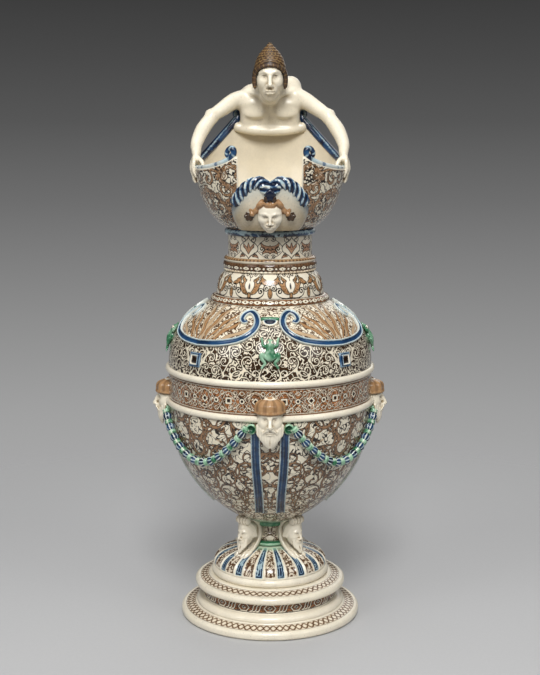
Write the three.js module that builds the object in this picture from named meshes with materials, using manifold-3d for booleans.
// A lead-glazed earthenware ewer, built as the thrown sections and applied reliefs it is luted from.
// Millimetres. +Z is up, the foot stands on z = 0, the spout faces -Y and the handle is at +Y.
// A height along a wall is a z; an angle round the axis is in degrees from the spout, + towards +X.

import * as THREE from "three";
import { mergeVertices } from "three/addons/utils/BufferGeometryUtils.js";
import Module from "manifold-3d";

const { degToRad, lerp, radToDeg } = THREE.MathUtils;
const wasm = await Module();
wasm.setup();

// Fits
const SEAT_GAP = 0.3; // clearance of a piece set into or onto another
const SINK = 1; // how far a relief reaches into its wall before its seat is cut
const WALL = 3.6; // thrown wall of the body, neck and pouring bowl
const LAP = 2.4; // depth of the lapped joint between two thrown sections

// Foot
const FLANGE_RADIUS = 55.6;
const FLANGE_EDGE = 5; // height of its rounded edge
const FLANGE_RISE = 2.5; // slope of its top up to the drum
const DRUM_RADIUS = 41.5;
const DRUM_HEIGHT = 11;
const DRUM_BEAD = 4; // height and projection of the bead round its base
const STEP_RADIUS = 46.7;
const STEP_EDGE = 4.5;
const STEP_RISE = 2.5;
const DOME_RADIUS = 36.3;
const DOME_BEAD_HEIGHT = 5;
const DOME_BEAD_OUT = 0.9;
const DOME_HEIGHT = 13.5;
const DOME_NECK_RADIUS = 12.4;
const FOOT_WALL = 4.6;
const EDGE_ROUND = 1.4; // rounding of the edges of the foot

// Stem
const STEM_RADIUS = 8.4;
const STEM_FLARE = 1.2;
const STEM_HEIGHT = 16;
const STEM_RING_RADIUS = 12;
const STEM_RING_HEIGHT = 3;
const TENON_RADIUS = 5;
const BOWL_RING_RADIUS = 13;
const BOWL_RING_HEIGHT = 3;

// Body
const BODY_RADIUS = 62;
const BOWL_SEAT_RADIUS = 14;
const BOWL_HEIGHT = 76;
const BOWL_FLOOR = 5;
const FRIEZE_HEIGHT = 20;
const SHOULDER_HEIGHT = 46.5;
const BODY_BEAD_OUT = 1.8;
const BODY_BEAD_HEIGHT = 4;

// Neck
const NECK_BASE_RADIUS = 32.5;
const BULGE_HEIGHT = 13.5;
const NECK_RADIUS = 25.6;
const NECK_HEIGHT = 24.5;
const NECK_COLLAR_THICKNESS = 1.6;
const NECK_COLLAR_LOW = 6.5; // its two edges below the top of the shoulder
const NECK_COLLAR_HIGH = 1.5;
const ROPE_OUT = 2.2;
const ROPE_HEIGHT = 8;
const NECK_RING_OUT = 1.4;
const NECK_RING_HEIGHT = 3.4;

// Pouring bowl
const POUR_RADIUS = 46;
const POUR_TOP_RADIUS = 45;
const POUR_BULGE_HEIGHT = 41; // from its joint to its widest
const RIM_SIDE_HEIGHT = 36.5; // all rim heights are from the joint with the neck
const RIM_HORN_HEIGHT = 44;
const RIM_BACK_HEIGHT = 67.5;
const GABLE_HALF_WIDTH = 19;
const SLOT_HALF_WIDTH = 19.5;
const SLOT_FLOOR_HEIGHT = 12;
const RIM_ROLL_RADIUS = 2.7;
const HORN_RADIUS = 4.2;
const PAUNCH_HALF_WIDTH = 20; // rounded roll hanging inside the back wall
const PAUNCH_HALF_DEPTH = 4.5;
const PAUNCH_HALF_HEIGHT = 7;

// Spout
const LIP_HALF_WIDTH = 22.5;
const LIP_HALF_DEPTH = 11.5;
const LIP_HALF_LENGTH = 26;
const LIP_TILT = 30; // degrees that its top leans forwards
const LIP_SINK = 5; // its middle behind the face of the pouring bowl
const LIP_WALL = 3;
const LIP_HEIGHT = 16; // middle of the lip above the joint with the neck
const LIP_FOOT_RISE = 1.2; // its flat foot above that joint
const CREST_END_RISE = -2; // crest line above the middle of the lip, at its ends, peaks and centre
const CREST_PEAK_RISE = 15;
const CREST_CENTRE_RISE = 10;
const CREST_PEAK_OUT = 9.5; // half the distance between its two peaks
const CREST_RADIUS = 3.2;
const CREST_SPAN = 0.92; // share of the lip's width that it runs along
const SPOUT_MASK_DEPTH = 7;
const SPOUT_MASK_WIDTH = 13;
const SPOUT_MASK_HEIGHT = 21;
const SPOUT_MASK_DROP = 6; // its middle below the middle of the lip

// Reliefs of the body
const MASK_DEPTH = 9.6;
const MASK_WIDTH = 17.5;
const MASK_HEIGHT = 34;
const MASK_DROP = 1; // middle of the mask below the lower bead
const RIBBON_WIDTH = 4.6;
const RIBBON_THICKNESS = 1.5;
const RIBBON_TOP_SPREAD = 8.4; // from the middle of the mask to each ribbon
const RIBBON_FOOT_SPREAD = 6.2;
const RIBBON_TOP_DROP = 9.5; // below the lower bead
const RIBBON_FOOT_DROP = 62;
const FESTOON_RADIUS = 2.5;
const FESTOON_MASK_GAP = 0.4; // from the widest of a mask's face to the ring beside it
const FESTOON_TOP_DROP = 4;
const FESTOON_SAG = 25;
const RING_RADIUS = 2.4;
const RING_TUBE = 1;
const STRAP_WIDTH = 3.6;
const STRAP_THICKNESS = 1.6;
const STRAP_HALF_SPAN = 32; // degrees
const STRAP_LOW = 21.5; // its lowest line above the upper bead
const STRAP_COLLAR_GAP = 1.2; // from its upper edge to the neck collar
const FROG_DEPTH = 3.6;
const FROG_WIDTH = 13;
const FROG_LENGTH = 22;
const FROG_RISE = 19; // its middle above the upper bead
const JEWEL_WIDTH = 8.4;
const JEWEL_THICKNESS = 1.6;
const JEWEL_STONE_WIDTH = 4.6;
const JEWEL_HEIGHT = 11.5;

// Consoles of the stem
const CONSOLE_WIDTH = 8;
const CONSOLE_THICKNESS = 3;
const CONSOLE_REACH = 24.5; // radius of its upper end
const CONSOLE_FOOT_REACH = 26;
const CONSOLE_HEAD_DEPTH = 6.4;
const CONSOLE_HEAD_WIDTH = 8;
const CONSOLE_HEAD_HEIGHT = 11;

// Figure, with its places from the top of the back wall
const CHEST_HALF_WIDTH = 18;
const CHEST_HALF_DEPTH = 13.5;
const TORSO_RUN = 36; // from the waist forward to the neck
const TORSO_RISE = 37.5; // from the waist up to the neck
const HEAD_AHEAD = 29.5;
const HEAD_ABOVE = 18.5;
const HEAD_WIDTH = 18.4;
const HEAD_DEPTH = 20;
const HEAD_HEIGHT = 24;
const NOSE_HALF_WIDTH = 1.6;
const NOSE_OUT = 2;
const CAP_RISE = 4; // foot of its point above the middle of the head
const CAP_HEIGHT = 20.5;
const CAP_FLAP_DROP = 4.5; // its ear flaps below the middle of the head
const FACE_HALF_WIDTH = 9.4; // opening of the cap in front
const FACE_HALF_HEIGHT = 17;
const CAP_OUT = 1.8; // thickness of the cap over the head
const SHOULDER_ASIDE = 13;
const SHOULDER_AHEAD = 8;
const SHOULDER_ABOVE = 16;
const ELBOW_ASIDE = 37.5;
const ELBOW_AHEAD = 23;
const ELBOW_BELOW = 1.5;
const ARM_RADIUS = 5.2;
const WRIST_RISE = 8;
const HAND_ANGLE = 88;
const FINGER_RADIUS = 1.3;
const FINGER_LENGTH = 9;
const HANDLE_OUT = 2.5; // middle of its back beyond the radius of the body
const HANDLE_RADIUS = 6;
const HANDLE_FOOT_RISE = 31; // its foot above the upper bead

// Fineness
const BODY_SEGMENTS = 24;
const STEM_SEGMENTS = 16;
const CURVE_STEPS = 5;
const TUBE_SIDES = 6;
const RING_SIDES = 4;
const LUMP_SEGMENTS = 8;
const LUMP_RINGS = 5;
const SMALL_SEGMENTS = 6;
const SMALL_RINGS = 4;
const BEAD_STEPS = 3;
const ROUND_WELD = 1e-4; // corners nearer than this are one corner

// Heights up the axis, each section resting on the one below
const DRUM_Z = FLANGE_EDGE + FLANGE_RISE;
const STEP_Z = DRUM_Z + DRUM_HEIGHT;
const DOME_Z = STEP_Z + STEP_EDGE + STEP_RISE;
const STEM_Z = DOME_Z + DOME_BEAD_HEIGHT + DOME_HEIGHT;
const BOWL_Z = STEM_Z + STEM_HEIGHT;
const FRIEZE_Z = BOWL_Z + BOWL_HEIGHT;
const SHOULDER_Z = FRIEZE_Z + FRIEZE_HEIGHT;
const BULGE_Z = SHOULDER_Z + SHOULDER_HEIGHT;
const NECK_Z = BULGE_Z + BULGE_HEIGHT;
const POUR_Z = NECK_Z + NECK_HEIGHT;
const BACK_TOP_Z = POUR_Z + RIM_BACK_HEIGHT;
const LIP_Z = POUR_Z + LIP_HEIGHT;

// Sizes of the reliefs: depth, width and height
const MASK_SIZE = [MASK_DEPTH, MASK_WIDTH, MASK_HEIGHT];
const SPOUT_MASK_SIZE = [SPOUT_MASK_DEPTH, SPOUT_MASK_WIDTH, SPOUT_MASK_HEIGHT];
const FROG_SIZE = [FROG_DEPTH, FROG_WIDTH, FROG_LENGTH];
const CONSOLE_HEAD_SIZE = [CONSOLE_HEAD_DEPTH, CONSOLE_HEAD_WIDTH, CONSOLE_HEAD_HEIGHT];
const HEAD_SIZE = [HEAD_WIDTH, HEAD_DEPTH, HEAD_HEIGHT];

// Stations of the torso, as shares of its run, its rise and the half-sizes of the chest
const TORSO_STATIONS = {
  waist: { behind: 0.47, above: -0.53, wide: 0.5, deep: 0.52 },
  belly: { behind: 0.39, above: -0.16, wide: 0.72, deep: 0.7 },
  ribs: { behind: 0.19, above: 0.13, wide: 0.94, deep: 0.89 },
  chest: { behind: -0.09, above: 0.36, wide: 1, deep: 1 },
  shoulders: { behind: -0.34, above: 0.44, wide: 0.86, deep: 0.74 },
  neck: { behind: -0.53, above: 0.47, wide: 0.39, deep: 0.48 },
};
const ARM_TAPER = [1, 0.75, 0.6, 0.56];
const HANDLE_TAPER = [1.3, 1.1, 1, 0.9, 0.95, 1.1];

// Shares of the hand: the heel and the finger places in finger radii, the thumb in finger lengths
const FINGER_PLACES = [-2.7, -0.9, 0.9, 2.7];
const HAND_SPREAD = 4.5;
const HAND_DEEP = 2.5;
const THUMB_SHARE = 0.8;

// Angles of the four sides and the four corners
const SIDES = { front: 0, right: 90, back: 180, left: -90 };
const CORNERS = { front_left: -45, front_right: 45, back_left: -135, back_right: 135 };

// Degrees from the middle of a festoon to the ring at each end
const RING_ASIDE = MASK_WIDTH / 2 + FESTOON_MASK_GAP + RING_RADIUS + RING_TUBE;
const FESTOON_HALF_SPAN = CORNERS.front_right - radToDeg(RING_ASIDE / BODY_RADIUS);

// Proportions of the reliefs: middle and half-size of each lump, in depths, widths and heights
const MASK_LUMPS = {
  face: { at: [0.1, 0, -0.06], half: [0.82, 0.5, 0.3] },
  nose: { at: [0.86, 0, -0.1], half: [0.14, 0.1, 0.1], small: true },
  beard: { at: [0.4, 0, -0.33], half: [0.42, 0.3, 0.17], small: true },
  cap: { at: [0.15, 0, 0.27], half: [0.83, 0.62, 0.19] },
  knob: { at: [0.6, 0, 0.43], half: [0.26, 0.14, 0.07], small: true },
};
const SPOUT_MASK_LUMPS = {
  face: { at: [0.1, 0, -0.05], half: [0.75, 0.42, 0.34] },
  hair: { at: [0.1, 0, 0.2], half: [0.7, 0.62, 0.25] },
  chin: { at: [0.3, 0, -0.36], half: [0.4, 0.24, 0.14], small: true },
};
const FROG_LUMPS = {
  trunk: { at: [0, 0, -0.05], half: [1, 0.34, 0.3] },
  head: { at: [0, 0, 0.3], half: [0.95, 0.28, 0.2], small: true },
  left_leg: { at: [0, -0.36, -0.32], half: [0.7, 0.14, 0.18], small: true },
  right_leg: { at: [0, 0.36, -0.32], half: [0.7, 0.14, 0.18], small: true },
};
const CONSOLE_HEAD_LUMPS = {
  face: { at: [0, 0, 0], half: [0.5, 0.46, 0.5] },
  beard: { at: [0.18, 0, -0.36], half: [0.3, 0.3, 0.24], small: true },
};

// Glazes
const IVORY = { color: 0xe4d9bd, roughness: 0.25 };
const INLAY_BROWN = { color: 0x8a6a4c, roughness: 0.25 };
const INLAY_RUST = { color: 0xa9794f, roughness: 0.25 };
const INLAY_DARK = { color: 0x5b4836, roughness: 0.25 };
const BLUE = { color: 0x3a4a6e, roughness: 0.22 };
const GREEN = { color: 0x5f7d52, roughness: 0.22 };
const CAP_BROWN = { color: 0x6b4a2c, roughness: 0.3 };

// A bare closed geometry as a solid that can be joined and cut
function solidOf(geometry) {
  const bare = geometry.clone();
  bare.deleteAttribute("normal");
  bare.deleteAttribute("uv");
  const welded = mergeVertices(bare, ROUND_WELD);
  const vertProperties = new Float32Array(welded.attributes.position.array);
  const triVerts = new Uint32Array(welded.index.array);
  return new wasm.Manifold(new wasm.Mesh({ numProp: 3, vertProperties, triVerts }));
}

// A solid back as a geometry
function geometryOf(solid) {
  const mesh = solid.getMesh();
  const geometry = new THREE.BufferGeometry();
  geometry.setAttribute("position", new THREE.BufferAttribute(new Float32Array(mesh.vertProperties), 3));
  geometry.setIndex(new THREE.BufferAttribute(new Uint32Array(mesh.triVerts), 1));
  geometry.computeVertexNormals();
  return geometry;
}

function join(geometries) {
  const [first, ...others] = geometries.map(solidOf);
  return others.reduce((whole, next) => whole.add(next), first);
}

// Takes every cutter away from a geometry, which leaves its seat on its neighbours
function seated(geometry, cutters) {
  return geometryOf(cutters.reduce((left, cutter) => left.subtract(cutter), solidOf(geometry)));
}

// Turns a closed outline of [radius, z] corners about the axis
function revolve(outline, segments = BODY_SEGMENTS) {
  const corners = [...outline, outline[0]].map(([radius, z]) => new THREE.Vector2(radius, z));
  return new THREE.LatheGeometry(corners, segments).rotateX(Math.PI / 2);
}

function curve(start, firstPull, secondPull, end, steps = CURVE_STEPS) {
  const ends = [start, firstPull, secondPull, end].map(([radius, z]) => new THREE.Vector2(radius, z));
  return new THREE.CubicBezierCurve(...ends).getPoints(steps).map((point) => point.toArray());
}

// An outline moved out by a distance, square to itself, with both ends kept on their own level
function outset(outline, distance) {
  return outline.map(([radius, z], i) => {
    if (i === 0 || i === outline.length - 1) {
      return [radius + distance, z];
    }
    const [lowRadius, lowZ] = outline[i - 1];
    const [highRadius, highZ] = outline[i + 1];
    const length = Math.hypot(highRadius - lowRadius, highZ - lowZ);
    const out = (highZ - lowZ) / length;
    const up = (lowRadius - highRadius) / length;
    return [radius + distance * out, z + distance * up];
  });
}

// Everything within an outline, grown by a distance: the cutter for what sits on that wall
function plug(outline, grow, segments = BODY_SEGMENTS) {
  const [, low] = outline[0];
  const [, high] = outline[outline.length - 1];
  return solidOf(revolve([[0, low], ...outset(outline, grow), [0, high]], segments));
}

// A thrown wall with a spigot under it and a rebate on top, where it laps its neighbours
function thrownWall(outer, { spigot, rebate }) {
  const [lowRadius, lowZ] = outer[0];
  const [highRadius, highZ] = outer[outer.length - 1];
  const inner = outset(outer, -WALL).reverse();
  const half = WALL / 2;
  const top = [
    [highRadius - half, highZ],
    [highRadius - half, highZ - LAP],
    [highRadius - WALL, highZ - LAP],
  ];
  const foot = [
    [lowRadius - WALL, lowZ - LAP + SEAT_GAP],
    [lowRadius - half - SEAT_GAP, lowZ - LAP + SEAT_GAP],
    [lowRadius - half - SEAT_GAP, lowZ],
  ];
  const insideTop = rebate ? inner.slice(1) : inner;
  const inside = spigot ? insideTop.slice(0, -1) : insideTop;
  return [...outer, ...(rebate ? top : []), ...inside, ...(spigot ? foot : [])];
}

// A half-round bead round a wall
function bead(wallRadius, z, height, out, grow = 0) {
  const inner = wallRadius + SEAT_GAP - grow;
  const arc = [];
  for (let i = 0; i <= BEAD_STEPS; i += 1) {
    const turn = lerp(-Math.PI / 2, Math.PI / 2, i / BEAD_STEPS);
    arc.push([inner + (out + 2 * grow) * Math.cos(turn), z + (height / 2 + grow) * Math.sin(turn)]);
  }
  return arc;
}

function wallAt(outline, z) {
  const i = Math.max(1, outline.findIndex(([, height]) => height >= z));
  const [lowRadius, lowZ] = outline[i - 1];
  const [highRadius, highZ] = outline[i];
  const radius = lerp(lowRadius, highRadius, (z - lowZ) / (highZ - lowZ));
  return { radius, tilt: Math.atan2(lowRadius - highRadius, highZ - lowZ) };
}

// A point on a wall, or off it by a distance, at an angle round the axis
function wallPoint(outline, z, angle, off = 0) {
  const { radius, tilt } = wallAt(outline, z);
  const turn = degToRad(angle);
  const reach = radius + off * Math.cos(tilt);
  return new THREE.Vector3(reach * Math.sin(turn), -reach * Math.cos(turn), z + off * Math.sin(tilt));
}

// Sets a relief, modelled with +X out of the wall and +Z up it, on a wall
function onWall(geometry, outline, z, angle = 0) {
  const { radius, tilt } = wallAt(outline, z);
  return geometry.rotateY(-tilt).translate(radius, 0, z).rotateZ(degToRad(angle) - Math.PI / 2);
}

function turned(geometry, angle) {
  return geometry.clone().rotateZ(degToRad(angle));
}

function lump(at, half, segments = LUMP_SEGMENTS, rings = LUMP_RINGS) {
  return new THREE.SphereGeometry(1, segments, rings).rotateX(Math.PI / 2).scale(...half).translate(...at);
}

function smallLump(at, half) {
  return lump(at, half, SMALL_SEGMENTS, SMALL_RINGS);
}

// The lumps of a relief, as one geometry of a given size
function relief(lumps, size, grow = 0) {
  const parts = Object.values(lumps).map(({ at, half, small }) => {
    const place = at.map((share, axis) => share * size[axis]);
    const reach = half.map((share, axis) => share * size[axis] + grow);
    return small ? smallLump(place, reach) : lump(place, reach);
  });
  return geometryOf(join(parts));
}

// A round limb through points, with a half-width along `side` and a half-depth across it at each
function limb(points, widths, depths, side, sides = TUBE_SIDES) {
  const rings = points.map((point, i) => {
    const before = points[Math.max(0, i - 1)];
    const after = points[Math.min(points.length - 1, i + 1)];
    const along = after.clone().sub(before).normalize();
    const wide = side.clone().addScaledVector(along, -side.dot(along)).normalize();
    const deep = along.clone().cross(wide);
    return Array.from({ length: sides }, (_, k) => {
      const turn = (2 * Math.PI * k) / sides;
      return point.clone()
        .addScaledVector(wide, widths[i] * Math.cos(turn))
        .addScaledVector(deep, depths[i] * Math.sin(turn));
    });
  });
  const corners = [...rings.flat(), points[0], points[points.length - 1]];
  const startCap = rings.length * sides;
  const endCap = startCap + 1;
  const faces = [];
  for (let k = 0; k < sides; k += 1) {
    const next = (k + 1) % sides;
    for (let i = 0; i < rings.length - 1; i += 1) {
      const low = i * sides;
      const high = low + sides;
      faces.push(low + k, low + next, high + next, low + k, high + next, high + k);
    }
    const last = (rings.length - 1) * sides;
    faces.push(startCap, next, k, endCap, last + k, last + next);
  }
  const geometry = new THREE.BufferGeometry().setFromPoints(corners);
  geometry.setIndex(faces);
  return geometry;
}

// Evenly spread points of the smooth curve through some stations
function smooth(points, steps) {
  return new THREE.CatmullRomCurve3(points).getPoints(steps);
}

function smoothValues(values, steps) {
  return new THREE.SplineCurve(values.map((value, i) => new THREE.Vector2(i, value)))
    .getPoints(steps)
    .map((point) => point.y);
}

// A prism seen from the front: [x, z] corners, run from one y to another
function frontPrism(corners, fromY, toY) {
  const shape = new THREE.Shape(corners.map(([x, z]) => new THREE.Vector2(x, z)));
  const prism = new THREE.ExtrudeGeometry(shape, { depth: toY - fromY, bevelEnabled: false });
  return solidOf(prism.rotateX(Math.PI / 2).translate(0, toY, 0));
}

// Outlines of the walls that reliefs sit on
const DOME_CURVE = curve(
  [DOME_RADIUS, DOME_Z + DOME_BEAD_HEIGHT],
  [DOME_RADIUS, lerp(DOME_Z + DOME_BEAD_HEIGHT, STEM_Z, 0.63)],
  [lerp(DOME_NECK_RADIUS, DOME_RADIUS, 0.58), lerp(DOME_Z + DOME_BEAD_HEIGHT, STEM_Z, 0.78)],
  [DOME_NECK_RADIUS, STEM_Z],
  CURVE_STEPS - 1,
);
const BOWL_CURVE = curve(
  [BOWL_SEAT_RADIUS, BOWL_Z],
  [lerp(BOWL_SEAT_RADIUS, BODY_RADIUS, 0.49), lerp(BOWL_Z, FRIEZE_Z, 0.13)],
  [BODY_RADIUS, lerp(BOWL_Z, FRIEZE_Z, 0.5)],
  [BODY_RADIUS, FRIEZE_Z],
  CURVE_STEPS + 1,
);
const FRIEZE_LINE = [[BODY_RADIUS, FRIEZE_Z], [BODY_RADIUS, SHOULDER_Z]];
const SHOULDER_CURVE = curve(
  [BODY_RADIUS, SHOULDER_Z],
  [BODY_RADIUS * 1.02, lerp(SHOULDER_Z, BULGE_Z, 0.47)],
  [lerp(NECK_BASE_RADIUS, BODY_RADIUS, 0.66), lerp(SHOULDER_Z, BULGE_Z, 0.73)],
  [NECK_BASE_RADIUS, BULGE_Z],
  CURVE_STEPS + 1,
);
const BULGE_CURVE = curve(
  [NECK_BASE_RADIUS, BULGE_Z],
  [NECK_BASE_RADIUS, lerp(BULGE_Z, NECK_Z, 0.4)],
  [lerp(NECK_RADIUS, NECK_BASE_RADIUS, 0.8), lerp(BULGE_Z, NECK_Z, 0.85)],
  [NECK_RADIUS, NECK_Z],
  CURVE_STEPS - 2,
);
const NECK_LINE = [[NECK_RADIUS, NECK_Z], [NECK_RADIUS, POUR_Z]];
const POUR_CURVE = [
  ...curve(
    [NECK_RADIUS, POUR_Z],
    [lerp(NECK_RADIUS, POUR_RADIUS, 0.6), POUR_Z + 0.16 * POUR_BULGE_HEIGHT],
    [lerp(NECK_RADIUS, POUR_RADIUS, 0.9), POUR_Z + 0.5 * POUR_BULGE_HEIGHT],
    [POUR_RADIUS, POUR_Z + POUR_BULGE_HEIGHT],
  ),
  [POUR_TOP_RADIUS, BACK_TOP_Z],
];
const BODY_LINE = [...BOWL_CURVE, ...SHOULDER_CURVE];

// Foot: four turned rings and a dome stacked on flat faces, open underneath
function makeFoot() {
  const hollow = DRUM_RADIUS - FOOT_WALL;
  const domeHollow = DOME_RADIUS - FOOT_WALL;
  const drumBeadRadius = DRUM_RADIUS + DRUM_BEAD;
  const flange = [
    [hollow, 0],
    [FLANGE_RADIUS - EDGE_ROUND, 0],
    [FLANGE_RADIUS, EDGE_ROUND],
    [FLANGE_RADIUS, FLANGE_EDGE - EDGE_ROUND],
    [FLANGE_RADIUS - EDGE_ROUND, FLANGE_EDGE],
    [drumBeadRadius, DRUM_Z],
    [hollow, DRUM_Z],
  ];
  const drum = [
    [hollow, DRUM_Z],
    [drumBeadRadius, DRUM_Z],
    [drumBeadRadius, DRUM_Z + DRUM_BEAD / 2],
    [DRUM_RADIUS, DRUM_Z + DRUM_BEAD],
    [DRUM_RADIUS, STEP_Z],
    [hollow, STEP_Z],
  ];
  const step = [
    [domeHollow, STEP_Z],
    [STEP_RADIUS - EDGE_ROUND, STEP_Z],
    [STEP_RADIUS, STEP_Z + EDGE_ROUND],
    [STEP_RADIUS, STEP_Z + STEP_EDGE - EDGE_ROUND],
    [STEP_RADIUS - EDGE_ROUND, STEP_Z + STEP_EDGE],
    [DOME_RADIUS + DOME_BEAD_OUT, DOME_Z],
    [domeHollow, DOME_Z],
  ];
  const hole = TENON_RADIUS + SEAT_GAP;
  const inside = outset(DOME_CURVE, -FOOT_WALL).slice(0, -1).reverse();
  const [, ceiling] = inside[0];
  const dome = [
    [DOME_RADIUS, DOME_Z],
    [DOME_RADIUS + DOME_BEAD_OUT, DOME_Z + DOME_BEAD_HEIGHT * 0.3],
    [DOME_RADIUS + DOME_BEAD_OUT, DOME_Z + DOME_BEAD_HEIGHT * 0.7],
    ...DOME_CURVE,
    [hole, STEM_Z],
    [hole, ceiling],
    ...inside,
    [domeHollow, DOME_Z],
  ];
  return { flange, drum, step, dome, ceiling };
}

// Stem: a turned spindle, tenoned into the dome and flat under the bowl
function stemOutline(tenonFoot, grow = 0) {
  const ringTop = STEM_Z + STEM_RING_HEIGHT;
  const neckFoot = BOWL_Z - BOWL_RING_HEIGHT;
  const flare = STEM_RADIUS + STEM_FLARE + grow;
  return [
    [0, tenonFoot],
    [TENON_RADIUS, tenonFoot],
    [TENON_RADIUS, STEM_Z],
    [STEM_RING_RADIUS + grow, STEM_Z],
    [STEM_RING_RADIUS + grow, ringTop],
    [flare, ringTop + grow],
    [STEM_RADIUS + grow, lerp(ringTop, neckFoot, 0.5)],
    [flare, neckFoot],
    [flare, BOWL_Z],
    [0, BOWL_Z],
  ];
}

function bowlRingOutline(grow = 0) {
  const inner = STEM_RADIUS + STEM_FLARE + SEAT_GAP - grow;
  const foot = BOWL_Z - BOWL_RING_HEIGHT - grow;
  return [
    [inner, foot],
    [BOWL_RING_RADIUS - EDGE_ROUND + grow, foot],
    [BOWL_RING_RADIUS + grow, lerp(foot, BOWL_Z, 0.5)],
    [BOWL_RING_RADIUS + grow, BOWL_Z],
    [inner, BOWL_Z],
  ];
}

function bowlOutline() {
  const half = WALL / 2;
  const inside = outset(BOWL_CURVE, -WALL).slice(1, -1).reverse();
  return [
    [0, BOWL_Z],
    ...BOWL_CURVE,
    [BODY_RADIUS - half, FRIEZE_Z],
    [BODY_RADIUS - half, FRIEZE_Z - LAP],
    [BODY_RADIUS - WALL, FRIEZE_Z - LAP],
    ...inside,
    [0, BOWL_Z + BOWL_FLOOR],
  ];
}

// Console: a C-scroll from the dome to the bowl, hollow outwards, with a head in its hollow
function consoleShape(cutters) {
  const waist = STEM_RADIUS + STEM_FLARE + CONSOLE_THICKNESS / 2;
  const foot = wallAt([...DOME_CURVE].reverse().map(([radius, z]) => [z, radius]), CONSOLE_FOOT_REACH).radius;
  const head = wallAt(BOWL_CURVE.map(([radius, z]) => [z, radius]), CONSOLE_REACH).radius;
  const points = [
    [CONSOLE_FOOT_REACH, foot],
    [lerp(waist, CONSOLE_FOOT_REACH, 0.5), lerp(foot, head, 0.1)],
    [lerp(waist, CONSOLE_REACH, 0.06), lerp(foot, head, 0.3)],
    [lerp(waist, CONSOLE_REACH, 0.06), lerp(foot, head, 0.5)],
    [lerp(waist, CONSOLE_REACH, 0.4), lerp(foot, head, 0.72)],
    [CONSOLE_REACH, head],
  ].map(([radius, z]) => new THREE.Vector3(0, -radius, z));
  const line = smooth(points, CURVE_STEPS + 2);
  const widths = line.map(() => CONSOLE_WIDTH / 2);
  const depths = line.map(() => CONSOLE_THICKNESS / 2);
  const scroll = limb(line, widths, depths, new THREE.Vector3(1, 0, 0));
  const face = relief(CONSOLE_HEAD_LUMPS, CONSOLE_HEAD_SIZE).rotateZ(-Math.PI / 2);
  face.translate(0, -waist - CONSOLE_HEAD_DEPTH / 2, lerp(foot, head, 0.42));
  return seated(geometryOf(join([scroll, face])), cutters);
}

function maskShape(cutters, grow = 0) {
  const mask = relief(MASK_LUMPS, MASK_SIZE, grow);
  mask.translate(BODY_RADIUS, 0, FRIEZE_Z - MASK_DROP).rotateZ(-Math.PI / 2);
  return cutters.length > 0 ? seated(mask, cutters) : mask;
}

// A flat band laid along a line of [z, angle] on a wall, off it by the fit
function bandOnWall(outline, line, width, thickness) {
  const sides = [[-1, 0], [1, 0], [1, 1], [-1, 1]];
  const corners = line.flatMap(([z, angle], i) => {
    const [beforeZ, beforeAngle] = line[Math.max(0, i - 1)];
    const [afterZ, afterAngle] = line[Math.min(line.length - 1, i + 1)];
    const along = wallPoint(outline, afterZ, afterAngle).sub(wallPoint(outline, beforeZ, beforeAngle));
    const foot = wallPoint(outline, z, angle, SEAT_GAP);
    const out = wallPoint(outline, z, angle, 1).sub(wallPoint(outline, z, angle));
    const across = along.cross(out).normalize();
    return sides.map(([aside, up]) => foot.clone()
      .addScaledVector(across, (aside * width) / 2)
      .addScaledVector(out, up * thickness));
  });
  const faces = [];
  const last = (line.length - 1) * sides.length;
  for (let low = 0; low < last; low += sides.length) {
    for (let k = 0; k < sides.length; k += 1) {
      const next = (k + 1) % sides.length;
      const high = low + sides.length;
      faces.push(low + k, high + next, low + next, low + k, high + k, high + next);
    }
  }
  faces.push(0, 1, 2, 0, 2, 3, last, last + 2, last + 1, last, last + 3, last + 2);
  const geometry = new THREE.BufferGeometry().setFromPoints(corners);
  geometry.setIndex(faces);
  return geometry;
}

// Ribbon down the bowl, to one side of a mask
function ribbonShape(side) {
  const line = [];
  const steps = 2 * CURVE_STEPS;
  for (let i = 0; i <= steps; i += 1) {
    const z = FRIEZE_Z - lerp(RIBBON_TOP_DROP, RIBBON_FOOT_DROP, i / steps);
    const spread = lerp(RIBBON_TOP_SPREAD, RIBBON_FOOT_SPREAD, i / steps);
    const angle = radToDeg(spread / wallAt(BODY_LINE, z).radius);
    line.push([z, side * angle]);
  }
  return bandOnWall(BODY_LINE, line, RIBBON_WIDTH, RIBBON_THICKNESS);
}

// Festoon hung between two rings, lying off the bowl by the fit
function festoonShape(cutters) {
  const steps = 2 * CURVE_STEPS;
  const points = [];
  const radii = [];
  const off = FESTOON_RADIUS + SEAT_GAP;
  for (let i = 0; i <= steps; i += 1) {
    const share = (2 * i) / steps - 1;
    const z = FRIEZE_Z - FESTOON_TOP_DROP - FESTOON_SAG * (1 - share * share);
    points.push(wallPoint(BODY_LINE, z, share * FESTOON_HALF_SPAN, off));
    radii.push(FESTOON_RADIUS);
  }
  const chain = limb(points, radii, radii, new THREE.Vector3(0, -1, 0));
  const rings = [-1, 1].map((side) => {
    const ring = new THREE.TorusGeometry(RING_RADIUS, RING_TUBE, RING_SIDES, 2 * TUBE_SIDES);
    ring.rotateY(Math.PI / 2).translate(off, 0, 0);
    return onWall(ring, BODY_LINE, FRIEZE_Z - FESTOON_TOP_DROP, side * FESTOON_HALF_SPAN);
  });
  return seated(geometryOf(join([chain, ...rings])), cutters);
}

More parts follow.
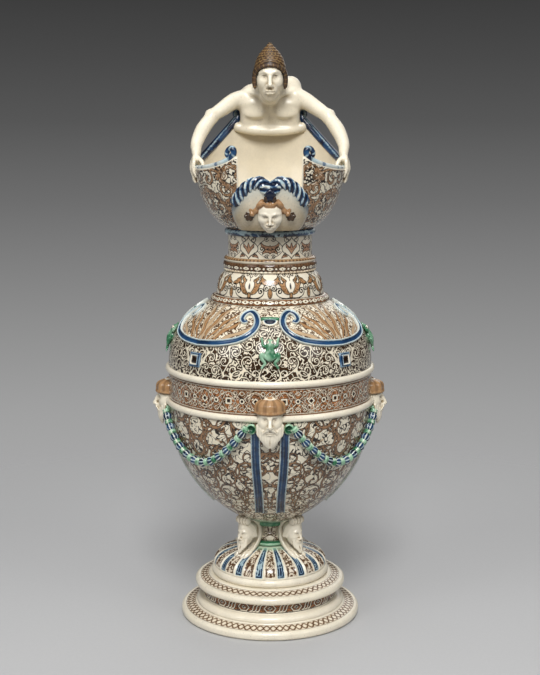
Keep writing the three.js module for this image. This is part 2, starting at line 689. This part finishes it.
// Collar lying on the slope of the shoulder, below the neck
function neckCollarOutline() {
  const edges = [NECK_COLLAR_LOW, lerp(NECK_COLLAR_LOW, NECK_COLLAR_HIGH, 0.5), NECK_COLLAR_HIGH];
  const offWall = (drop, off) => {
    const { radius, tilt } = wallAt(SHOULDER_CURVE, BULGE_Z - drop);
    return [radius + off * Math.cos(tilt), BULGE_Z - drop + off * Math.sin(tilt)];
  };
  const outer = edges.map((drop) => offWall(drop, SEAT_GAP + NECK_COLLAR_THICKNESS));
  const inner = edges.map((drop) => offWall(drop, SEAT_GAP)).reverse();
  return [...outer, ...inner];
}

// U-shaped strap on the shoulder, its ends rolled inwards
function strapShape() {
  const half = [
    [0, 0],
    [0.38, 0.07],
    [0.75, 0.24],
    [0.97, 0.52],
    [1, 0.8],
    [0.88, 1],
    [0.75, 0.9],
  ];
  const high = BULGE_Z - NECK_COLLAR_LOW - STRAP_WIDTH / 2 - STRAP_COLLAR_GAP;
  const whole = [...half.slice(1).reverse().map(([aside, up]) => [-aside, up]), ...half];
  const points = whole.map(([aside, up]) => {
    const z = lerp(SHOULDER_Z + STRAP_LOW, high, up);
    return new THREE.Vector3(z, aside * STRAP_HALF_SPAN, 0);
  });
  const line = smooth(points, 3 * CURVE_STEPS).map((point) => [point.x, point.y]);
  return bandOnWall(BODY_LINE, line, STRAP_WIDTH, STRAP_THICKNESS);
}

function frogShape(cutters) {
  const frog = onWall(relief(FROG_LUMPS, FROG_SIZE), BODY_LINE, SHOULDER_Z + FROG_RISE);
  return seated(frog, cutters);
}

// Jewel: a square stone in a stepped square frame
function jewelShape(cutters) {
  const slab = (width, thickness, from) => {
    const reach = width / Math.SQRT2;
    const block = new THREE.CylinderGeometry(reach * 0.85, reach, thickness, 4).rotateY(Math.PI / 4);
    return block.rotateZ(-Math.PI / 2).translate(from + thickness / 2, 0, 0);
  };
  const frame = slab(JEWEL_WIDTH, JEWEL_THICKNESS + SINK, -SINK);
  const stone = slab(JEWEL_STONE_WIDTH, JEWEL_THICKNESS, JEWEL_THICKNESS - SEAT_GAP);
  const jewel = onWall(geometryOf(join([frame, stone])), BODY_LINE, SHOULDER_Z + JEWEL_HEIGHT);
  return seated(jewel, cutters);
}

// Rim of the pouring bowl: low at the sides, horns either side of the slot, a gable at the back
function rimZ(x, atBack) {
  const aside = Math.min(Math.abs(x), POUR_RADIUS);
  const side = POUR_Z + RIM_SIDE_HEIGHT;
  if (atBack) {
    const share = Math.min(1, (POUR_RADIUS - aside) / (POUR_RADIUS - GABLE_HALF_WIDTH));
    return lerp(side, BACK_TOP_Z, share);
  }
  const share = Math.min(1, (POUR_RADIUS - aside) / (POUR_RADIUS - SLOT_HALF_WIDTH));
  return lerp(side, POUR_Z + RIM_HORN_HEIGHT, share * share);
}

function rimPoint(angle) {
  const turn = degToRad(angle);
  const guess = POUR_RADIUS - WALL / 2;
  const z = rimZ(guess * Math.sin(turn), Math.cos(turn) < 0);
  const radius = wallAt(POUR_CURVE, Math.min(z, BACK_TOP_Z)).radius - WALL / 2;
  return new THREE.Vector3(radius * Math.sin(turn), -radius * Math.cos(turn), z);
}

// The pouring bowl, or with a growth the cutter for what sits on it
function pourBowl(grow) {
  const shell = grow > 0
    ? [...outset(POUR_CURVE, grow), ...outset(POUR_CURVE, -WALL - grow).reverse()]
    : thrownWall(POUR_CURVE, { spigot: true, rebate: false });
  const over = 2 * RIM_BACK_HEIGHT;
  const ceiling = POUR_Z + over;
  const corner = 2 * POUR_RADIUS;
  const raised = (x, atBack) => [x, rimZ(x, atBack) + grow];
  const steps = CURVE_STEPS;
  const front = [];
  const slot = SLOT_HALF_WIDTH - grow;
  for (let i = 0; i <= steps; i += 1) {
    front.push(raised(lerp(POUR_RADIUS, slot, i / steps), false));
  }
  const slotFloor = POUR_Z + SLOT_FLOOR_HEIGHT + grow;
  const mirrored = (line) => [...line].reverse().map(([x, z]) => [-x, z]);
  const frontHalf = [[corner, ceiling], raised(corner, false), ...front, [slot, slotFloor]];
  const back = [corner, POUR_RADIUS, GABLE_HALF_WIDTH].map((x) => raised(x, true));
  const backHalf = [[corner, ceiling], ...back];
  const cutFront = frontPrism([...frontHalf, ...mirrored(frontHalf)], -corner, 0);
  const cutBack = frontPrism([...backHalf, ...mirrored(backHalf)], 0, corner);
  const trimmed = solidOf(revolve(shell)).subtract(cutFront).subtract(cutBack);
  const paunchZ = BACK_TOP_Z - PAUNCH_HALF_HEIGHT;
  const paunchY = wallAt(POUR_CURVE, paunchZ).radius - WALL - PAUNCH_HALF_DEPTH / 2;
  const halves = [PAUNCH_HALF_WIDTH, PAUNCH_HALF_DEPTH, PAUNCH_HALF_HEIGHT];
  const paunch = lump([0, paunchY, paunchZ], halves.map((half) => half + grow));
  return trimmed.add(solidOf(paunch));
}

// Rolled moulding on one half of the rim, from the horn by the slot round to the gable
function rimRoll(side, grow) {
  const hornAngle = radToDeg(Math.asin((SLOT_HALF_WIDTH + HORN_RADIUS) / POUR_RADIUS));
  const gableAngle = 180 - radToDeg(Math.asin(GABLE_HALF_WIDTH / POUR_TOP_RADIUS));
  const steps = 2 * CURVE_STEPS;
  const points = [];
  for (let i = 0; i <= steps; i += 1) {
    points.push(rimPoint(side * lerp(hornAngle, gableAngle, i / steps)));
  }
  const radii = points.map(() => RIM_ROLL_RADIUS + grow);
  const roll = limb(points, radii, radii, new THREE.Vector3(0, 0.3, 1));
  const horn = lump(points[0].toArray(), [HORN_RADIUS + grow, HORN_RADIUS + grow, HORN_RADIUS + grow]);
  return join([roll, horn]);
}

// Spout lip: part of a hollow egg leaning forwards out of the front of the pouring bowl
const LIP_HALVES = [LIP_HALF_WIDTH, LIP_HALF_DEPTH, LIP_HALF_LENGTH];
const LIP_Y = LIP_SINK - wallAt(POUR_CURVE, LIP_Z).radius;

// The y of the front of the lip's egg at a place seen from the front
function lipFrontY(x, z) {
  const [width, depth, length] = LIP_HALVES;
  const lean = Math.sin(degToRad(LIP_TILT));
  const rise = Math.cos(degToRad(LIP_TILT));
  const up = z - LIP_Z;
  const square = (rise / depth) ** 2 + (lean / length) ** 2;
  const cross = up * lean * rise * (depth ** -2 - length ** -2);
  const rest = (x / width) ** 2 + up ** 2 * ((lean / depth) ** 2 + (rise / length) ** 2) - 1;
  return LIP_Y - (cross + Math.sqrt(Math.max(0, cross ** 2 - square * rest))) / square;
}

function crestRise(x) {
  const aside = Math.abs(x);
  if (aside < CREST_PEAK_OUT) {
    return lerp(CREST_CENTRE_RISE, CREST_PEAK_RISE, Math.sin((aside / CREST_PEAK_OUT) * (Math.PI / 2)));
  }
  const share = (aside - CREST_PEAK_OUT) / (LIP_HALF_WIDTH - CREST_PEAK_OUT);
  return lerp(CREST_PEAK_RISE, CREST_END_RISE, 1 - Math.cos((share * Math.PI) / 2));
}

function lipEgg(grow) {
  const egg = new THREE.SphereGeometry(1, 2 * LUMP_SEGMENTS, 2 * LUMP_RINGS).rotateX(Math.PI / 2);
  egg.scale(...LIP_HALVES.map((half) => half + grow)).rotateX(degToRad(LIP_TILT));
  return solidOf(egg.translate(0, LIP_Y, LIP_Z));
}

function spoutLip() {
  const steps = 4 * CURVE_STEPS;
  const top = [];
  for (let i = 0; i <= steps; i += 1) {
    const x = lerp(LIP_HALF_WIDTH + 1, -LIP_HALF_WIDTH - 1, i / steps);
    top.push([x, LIP_Z + crestRise(Math.min(LIP_HALF_WIDTH, Math.abs(x)))]);
  }
  const corner = 2 * LIP_HALF_WIDTH;
  const ceiling = LIP_Z + 2 * LIP_HALF_LENGTH;
  const low = LIP_Z - 2 * LIP_HALF_LENGTH;
  const foot = POUR_Z + LIP_FOOT_RISE;
  const cutTop = frontPrism([[-corner, ceiling], [corner, ceiling], ...top], -2 * POUR_RADIUS, POUR_RADIUS);
  const under = [[-corner, low], [corner, low], [corner, foot], [-corner, foot]];
  const cutFoot = frontPrism(under, -2 * POUR_RADIUS, POUR_RADIUS);
  const bowl = plug(POUR_CURVE, SEAT_GAP);
  return lipEgg(0).subtract(lipEgg(-LIP_WALL)).subtract(cutTop).subtract(cutFoot).subtract(bowl);
}

// Crest: a roll along the front of the lip's top edge
function crestRoll(cutters) {
  const points = [];
  const steps = 3 * CURVE_STEPS;
  for (let i = 0; i <= steps; i += 1) {
    const x = lerp(-LIP_HALF_WIDTH, LIP_HALF_WIDTH, i / steps) * CREST_SPAN;
    const rise = crestRise(x) - CREST_RADIUS / 2;
    points.push(new THREE.Vector3(x, lipFrontY(x, LIP_Z + rise), LIP_Z + rise));
  }
  const radii = points.map(() => CREST_RADIUS);
  return seated(limb(points, radii, radii, new THREE.Vector3(0, 1, 0.2)), cutters);
}

function spoutMask(cutters) {
  const mask = relief(SPOUT_MASK_LUMPS, SPOUT_MASK_SIZE).rotateZ(-Math.PI / 2);
  const z = LIP_Z - SPOUT_MASK_DROP;
  mask.translate(0, lipFrontY(0, z), z);
  return seated(mask, cutters);
}

// Figure leaning over the back wall
const WALL_TOP = new THREE.Vector3(0, POUR_TOP_RADIUS - WALL / 2, BACK_TOP_Z);

function fromWallTop(aside, behind, above) {
  return WALL_TOP.clone().add(new THREE.Vector3(aside, behind, above));
}

const HEAD_AT = fromWallTop(0, -HEAD_AHEAD, HEAD_ABOVE).toArray();

function torsoPoint({ behind, above }) {
  return fromWallTop(0, behind * TORSO_RUN, above * TORSO_RISE);
}

function torsoShape(grow) {
  const steps = 2 * CURVE_STEPS;
  const stations = Object.values(TORSO_STATIONS);
  const points = smooth(stations.map(torsoPoint), steps);
  const widths = smoothValues(stations.map(({ wide }) => wide * CHEST_HALF_WIDTH + grow), steps);
  const depths = smoothValues(stations.map(({ deep }) => deep * CHEST_HALF_DEPTH + grow), steps);
  return limb(points, widths, depths, new THREE.Vector3(1, 0, 0), 2 * TUBE_SIDES);
}

function headShape(grow) {
  const half = HEAD_SIZE.map((size) => size / 2 + grow);
  const skull = lump([0, 0, 0], half, 2 * TUBE_SIDES, LUMP_SEGMENTS);
  const noseHalves = [NOSE_HALF_WIDTH, NOSE_OUT, 2 * NOSE_HALF_WIDTH].map((size) => size + grow);
  const nose = lump([0, -HEAD_DEPTH / 2, 0], noseHalves);
  return geometryOf(join([skull, nose])).translate(...HEAD_AT);
}

// Pointed cap, a hood over the skull that is open at the face and below the ears
function capShape(cutters) {
  const brim = HEAD_WIDTH / 2 + CAP_OUT;
  const hoodHalves = HEAD_SIZE.map((size) => size / 2 + CAP_OUT);
  const hood = lump([0, 0, 0], hoodHalves, 2 * TUBE_SIDES, LUMP_SEGMENTS);
  const crown = curve(
    [brim, CAP_RISE],
    [brim, CAP_RISE + CAP_HEIGHT * 0.4],
    [brim * 0.35, CAP_RISE + CAP_HEIGHT * 0.65],
    [0, CAP_RISE + CAP_HEIGHT],
    CURVE_STEPS - 1,
  );
  const point = revolve([[0, CAP_RISE], ...crown], 2 * TUBE_SIDES).scale(1, HEAD_DEPTH / HEAD_WIDTH, 1);
  const opening = [FACE_HALF_WIDTH, HEAD_DEPTH / 2, FACE_HALF_HEIGHT];
  const face = lump([0, -HEAD_DEPTH / 2, -CAP_FLAP_DROP], opening);
  const low = [
    [-HEAD_WIDTH, -HEAD_HEIGHT],
    [HEAD_WIDTH, -HEAD_HEIGHT],
    [HEAD_WIDTH, -CAP_FLAP_DROP],
    [-HEAD_WIDTH, -CAP_FLAP_DROP],
  ];
  const below = frontPrism(low, -HEAD_DEPTH, HEAD_DEPTH);
  const open = join([hood, point]).subtract(solidOf(face)).subtract(below);
  return seated(geometryOf(open).translate(...HEAD_AT), cutters);
}

// Arm from the shoulder over the elbow to a hand gripping the rim
function armShape(side, cutters) {
  const shoulder = fromWallTop(side * SHOULDER_ASIDE, -SHOULDER_AHEAD, SHOULDER_ABOVE);
  const elbow = fromWallTop(side * ELBOW_ASIDE, -ELBOW_AHEAD, -ELBOW_BELOW);
  const grip = rimPoint(side * HAND_ANGLE);
  const outside = side * (RIM_ROLL_RADIUS + FINGER_RADIUS / 2);
  const palm = grip.clone().add(new THREE.Vector3(0, 0, RIM_ROLL_RADIUS + FINGER_RADIUS));
  const wrist = palm.clone().add(new THREE.Vector3(0, FINGER_RADIUS, WRIST_RISE));
  const steps = CURVE_STEPS + 2;
  const points = smooth([shoulder, elbow, wrist, palm], steps);
  const radii = smoothValues(ARM_TAPER.map((share) => share * ARM_RADIUS), steps);
  const arm = limb(points, radii, radii, new THREE.Vector3(0, 1, 0), LUMP_SEGMENTS);
  const digit = (x, y, z, length) => smallLump(
    [grip.x + x, grip.y + y, grip.z + z],
    [FINGER_RADIUS, FINGER_RADIUS, length / 2],
  );
  const fingers = FINGER_PLACES.map((place) => digit(outside, place * FINGER_RADIUS, 0, FINGER_LENGTH));
  const thumb = digit(-outside, 0, RIM_ROLL_RADIUS, FINGER_LENGTH * THUMB_SHARE);
  const across = RIM_ROLL_RADIUS + FINGER_RADIUS;
  const heel = lump(palm.toArray(), [across, HAND_SPREAD * FINGER_RADIUS, HAND_DEEP * FINGER_RADIUS]);
  return seated(geometryOf(join([arm, heel, ...fingers, thumb])), cutters);
}

// Handle: the figure's lower body drawn out into a tail that lands on the shoulder
function handleShape(cutters) {
  const start = torsoPoint(TORSO_STATIONS.waist);
  const reach = BODY_RADIUS + HANDLE_OUT;
  const footZ = SHOULDER_Z + HANDLE_FOOT_RISE;
  const footY = wallAt(SHOULDER_CURVE, footZ).radius;
  const at = (y, z) => new THREE.Vector3(0, y, z);
  const points = smooth([
    at(start.y - 1, start.z + HANDLE_RADIUS),
    at(lerp(start.y, reach, 0.8), lerp(start.z, footZ, 0.16)),
    at(reach, lerp(start.z, footZ, 0.4)),
    at(lerp(footY, reach, 0.75), lerp(start.z, footZ, 0.75)),
    at(footY + HANDLE_RADIUS / 2, lerp(start.z, footZ, 0.95)),
    at(footY - HANDLE_RADIUS, footZ - HANDLE_RADIUS),
  ], 2 * CURVE_STEPS);
  const radii = smoothValues(HANDLE_TAPER.map((share) => share * HANDLE_RADIUS), 2 * CURVE_STEPS);
  return seated(limb(points, radii, radii, new THREE.Vector3(1, 0, 0), LUMP_SEGMENTS), cutters);
}

// The scene graph
const ewer = new THREE.Group();

function place(group, name, geometry, glaze, angle = 0) {
  const mesh = new THREE.Mesh(geometry, new THREE.MeshStandardMaterial({ ...glaze, metalness: 0 }));
  mesh.name = name;
  mesh.rotation.z = degToRad(angle);
  group.add(mesh);
}

function subAssembly() {
  const group = new THREE.Group();
  ewer.add(group);
  return group;
}

// Foot and stem
const footParts = makeFoot();
const foot = subAssembly();
place(foot, "foot_flange", revolve(footParts.flange), INLAY_BROWN);
place(foot, "foot_drum", revolve(footParts.drum), INLAY_RUST);
place(foot, "foot_step", revolve(footParts.step), INLAY_BROWN);
place(foot, "foot_dome", revolve(footParts.dome), BLUE);
place(foot, "stem", revolve(stemOutline(footParts.ceiling), STEM_SEGMENTS), IVORY);
place(foot, "bowl_ring", revolve(bowlRingOutline(), STEM_SEGMENTS), GREEN);
const consoleSeats = [
  plug(DOME_CURVE, SEAT_GAP),
  plug(BOWL_CURVE, SEAT_GAP),
  solidOf(revolve(stemOutline(footParts.ceiling, SEAT_GAP), STEM_SEGMENTS)),
  solidOf(revolve(bowlRingOutline(SEAT_GAP), STEM_SEGMENTS)),
];
const consoleGeometry = consoleShape(consoleSeats);
for (const [corner, angle] of Object.entries(CORNERS)) {
  place(foot, `console_${corner}`, consoleGeometry, IVORY, angle);
}

// Body
const body = subAssembly();
const bodySeat = plug(BODY_LINE, SEAT_GAP);
const lowerBead = (grow) => revolve(bead(BODY_RADIUS, FRIEZE_Z, BODY_BEAD_HEIGHT, BODY_BEAD_OUT, grow));
place(body, "bowl", revolve(bowlOutline()), INLAY_BROWN);
place(body, "lower_bead", lowerBead(0), IVORY);
place(body, "frieze_band", revolve(thrownWall(FRIEZE_LINE, { spigot: true, rebate: true })), INLAY_RUST);
place(body, "upper_bead", revolve(bead(BODY_RADIUS, SHOULDER_Z, BODY_BEAD_HEIGHT, BODY_BEAD_OUT)), IVORY);
place(body, "shoulder", revolve(thrownWall(SHOULDER_CURVE, { spigot: true, rebate: true })), INLAY_DARK);

// Reliefs of the body
const reliefs = subAssembly();
const maskSeats = [bodySeat, solidOf(lowerBead(SEAT_GAP))];
const maskGeometry = maskShape(maskSeats);
const grownMask = maskShape([], SEAT_GAP);
const ribbonGeometry = { a: ribbonShape(-1), b: ribbonShape(1) };
for (const [side, angle] of Object.entries(SIDES)) {
  place(reliefs, `mask_${side}`, maskGeometry, IVORY, angle);
  for (const [letter, geometry] of Object.entries(ribbonGeometry)) {
    place(reliefs, `ribbon_${side}_${letter}`, geometry, BLUE, angle);
  }
}
const cornersBeside = [CORNERS.front_left, CORNERS.front_right];
const festoonSeats = cornersBeside.map((angle) => solidOf(turned(grownMask, angle)));
const festoonGeometry = festoonShape(festoonSeats);
const strapGeometry = strapShape();
const jewelGeometry = jewelShape([bodySeat]);
for (const [corner, angle] of Object.entries(CORNERS)) {
  place(reliefs, `festoon_${corner}`, festoonGeometry, GREEN, angle);
  place(reliefs, `strap_${corner}`, strapGeometry, BLUE, angle);
  place(reliefs, `jewel_${corner}`, jewelGeometry, BLUE, angle);
}
const frogGeometry = frogShape([bodySeat]);
for (const side of ["front", "right", "left"]) {
  place(reliefs, `frog_${side}`, frogGeometry, GREEN, SIDES[side]);
}

// Neck
const neck = subAssembly();
const ring = (z, height, out) => revolve(bead(NECK_RADIUS, z, height, out));
place(neck, "neck_collar", revolve(neckCollarOutline()), IVORY);
place(neck, "neck_bulge", revolve(thrownWall(BULGE_CURVE, { spigot: true, rebate: true })), IVORY);
place(neck, "rope_ring", ring(NECK_Z + ROPE_HEIGHT / 2, ROPE_HEIGHT, ROPE_OUT), INLAY_DARK);
place(neck, "neck_tube", revolve(thrownWall(NECK_LINE, { spigot: true, rebate: true })), IVORY);
place(neck, "neck_ring", ring(POUR_Z - NECK_RING_HEIGHT / 2, NECK_RING_HEIGHT, NECK_RING_OUT), BLUE);

// Pouring bowl and spout
const head = subAssembly();
const bowlSeat = pourBowl(SEAT_GAP);
const torsoSeat = solidOf(torsoShape(SEAT_GAP));
const rollSeats = [-1, 1].map((side) => rimRoll(side, SEAT_GAP));
place(head, "pour_bowl", geometryOf(pourBowl(0)), INLAY_RUST);
place(head, "rim_left", seated(geometryOf(rimRoll(-1, 0)), [bowlSeat, torsoSeat]), BLUE);
place(head, "rim_right", seated(geometryOf(rimRoll(1, 0)), [bowlSeat, torsoSeat]), BLUE);
place(head, "spout_lip", geometryOf(spoutLip()), IVORY);
place(head, "spout_crest", crestRoll([lipEgg(SEAT_GAP), plug(POUR_CURVE, SEAT_GAP)]), BLUE);
place(head, "spout_mask", spoutMask([lipEgg(SEAT_GAP)]), IVORY);

// Figure
const figure = subAssembly();
const skullSeat = solidOf(headShape(SEAT_GAP));
place(figure, "torso", seated(torsoShape(0), [bowlSeat]), IVORY);
place(figure, "head", seated(headShape(0), [torsoSeat]), IVORY);
place(figure, "cap", capShape([skullSeat, torsoSeat]), CAP_BROWN);
place(figure, "arm_left", armShape(-1, [torsoSeat, bowlSeat, ...rollSeats]), IVORY);
place(figure, "arm_right", armShape(1, [torsoSeat, bowlSeat, ...rollSeats]), IVORY);
place(figure, "handle", handleShape([torsoSeat, plug(SHOULDER_CURVE, SEAT_GAP), bowlSeat]), IVORY);

export default ewer;
